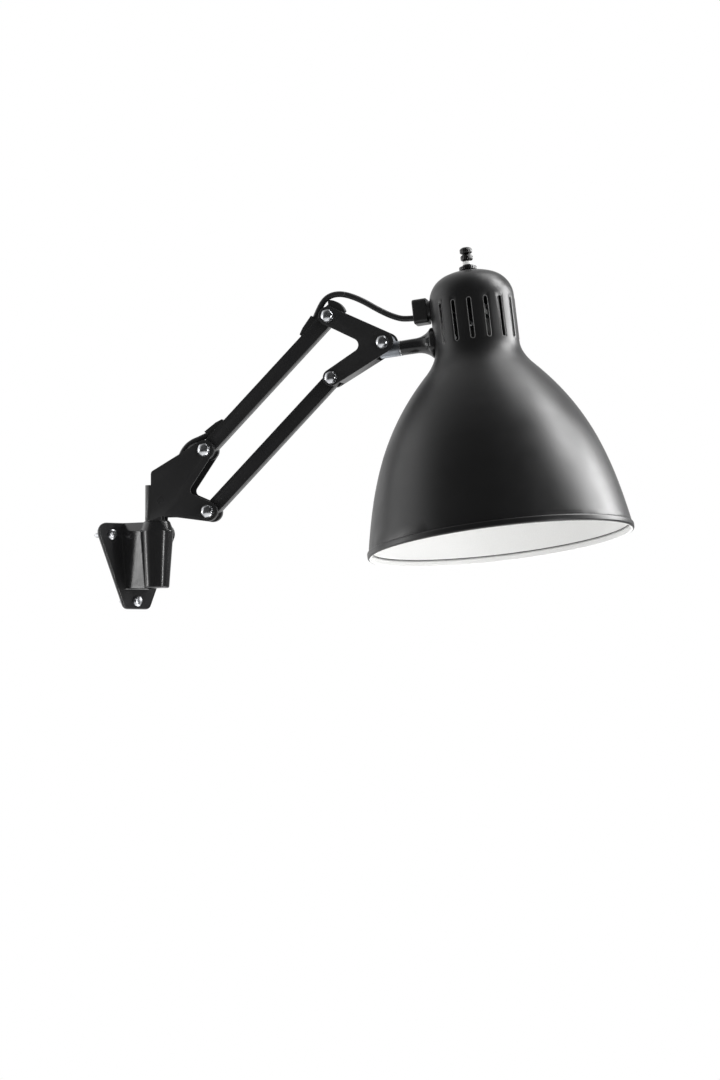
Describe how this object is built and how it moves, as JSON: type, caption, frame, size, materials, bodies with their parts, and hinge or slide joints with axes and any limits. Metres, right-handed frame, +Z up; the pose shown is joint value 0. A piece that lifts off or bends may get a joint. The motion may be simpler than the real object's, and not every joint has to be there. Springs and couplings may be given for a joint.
{
  "type": "articulating wall lamp",
  "caption": "Wall lamp with a swivelling parallelogram arm, friction pivots, a tilting and turning bell shade, and its cord led through the upper bar.",
  "frame": {"origin": "middle of the wall plate's back face, on the wall", "axes": "+Z up, -Y out from the wall into the room, +X to the right for someone facing the wall"},
  "size_m": [0.3699, 0.4285, 0.3259],
  "materials": {
    "black_cast": "satin black paint on a casting",
    "black_sheet": "satin black paint on steel sheet",
    "black_tube": "satin black paint on square tube",
    "black_shade": "matt black outside, white inside",
    "white_rim": "white paint",
    "zinc": "zinc plated",
    "chrome": "polished",
    "bush": "natural nylon",
    "black_plastic": "fine matt",
    "cord": "smooth black sheath",
    "holder": "moulded",
    "bulb_base": "rolled thread",
    "bulb_glass": "frosted",
    "leads": "insulated wire"
  },
  "bodies": {
    "wall": {"wall_bracket": "black_cast", "wall_screws": "zinc", "socket_bush": "bush", "thrust_washer": "bush", "cord_to_wall": "cord"},
    "swivel": {"swivel_post": "black_tube", "post_block": "black_cast", "rear_knuckle": "black_sheet", "rear_pivot_bolts": "zinc", "rear_pivot_nuts": "zinc", "rear_spacers": "bush", "cord_in_post": "cord", "cord_rear": "cord"},
    "upper_arm": {"upper_bar": "black_tube", "upper_bar_bushes": "bush", "rear_cord_guide": "black_plastic", "front_cord_guide": "black_plastic", "cord_in_bar": "cord"},
    "lower_arm": {"lower_bar": "black_tube", "lower_bar_bushes": "bush"},
    "front_link": {"front_knuckle": "black_sheet", "front_pivot_bolts": "zinc", "front_pivot_nuts": "zinc", "front_spacers": "bush", "head_pivot_bolt": "zinc", "head_pivot_nut": "zinc", "head_washers": "bush", "cord_front": "cord"},
    "tilt_lug": {"head_lug": "zinc", "swivel_set_screw": "zinc"},
    "head": {"neck": "black_cast", "neck_washer": "zinc", "neck_stud": "zinc", "stud_nut": "zinc", "shade": "black_shade", "reflector": "white_rim", "rim_ring": "white_rim", "cord_gland": "black_plastic", "gland_nut": "black_plastic", "switch_body": "black_plastic", "switch_nut": "chrome", "switch_lock_nut": "zinc", "holder_strap": "zinc", "lamp_holder": "holder", "holder_screws": "zinc", "bulb_base": "bulb_base", "bulb_glass": "bulb_glass", "inner_leads": "leads"},
    "knob": {"switch_knob": "chrome"}
  },
  "joints": [
    {"name": "base_yaw", "type": "hinge", "parent": "wall", "child": "swivel", "pos_m": [0, -0.0365, 0.04], "axis": [0, 0, 1], "range_deg": [-116, 30]},
    {"name": "arm_lift", "type": "hinge", "parent": "swivel", "child": "upper_arm", "pos_m": [0.03205, -0.07087, 0.1045], "axis": [-0.7314, -0.682, 0], "range_deg": [-60, 20], "deforming": ["cord_rear"]},
    {"name": "lower_arm_lift", "type": "hinge", "parent": "swivel", "child": "lower_arm", "pos_m": [0.03426, -0.07323, 0.04849], "axis": [-0.7314, -0.682, 0], "range_deg": [-60, 20]},
    {"name": "front_level", "type": "hinge", "parent": "upper_arm", "child": "front_link", "pos_m": [0.11027, -0.15475, 0.22451], "axis": [-0.7314, -0.682, 0], "range_deg": [-20, 60], "deforming": ["cord_front"]},
    {"name": "head_tilt", "type": "hinge", "parent": "front_link", "child": "tilt_lug", "pos_m": [0.14485, -0.19183, 0.20001], "axis": [-0.7314, -0.682, 0], "range_deg": [-20, 60]},
    {"name": "head_swivel", "type": "hinge", "parent": "tilt_lug", "child": "head", "pos_m": [0.15485, -0.20255, 0.19493], "axis": [0.6758, -0.7248, 0.134], "range_deg": [-80, 80]},
    {"name": "knob_turn", "type": "hinge", "parent": "head", "child": "knob", "pos_m": [0.1998, -0.24328, 0.26849], "axis": [-0.0337, 0.1512, 0.9879], "continuous": true}
  ],
  "couplings": [
    {"joint": "lower_arm_lift", "follows": "arm_lift", "ratio": 1},
    {"joint": "front_level", "follows": "arm_lift", "ratio": -1}
  ]
}
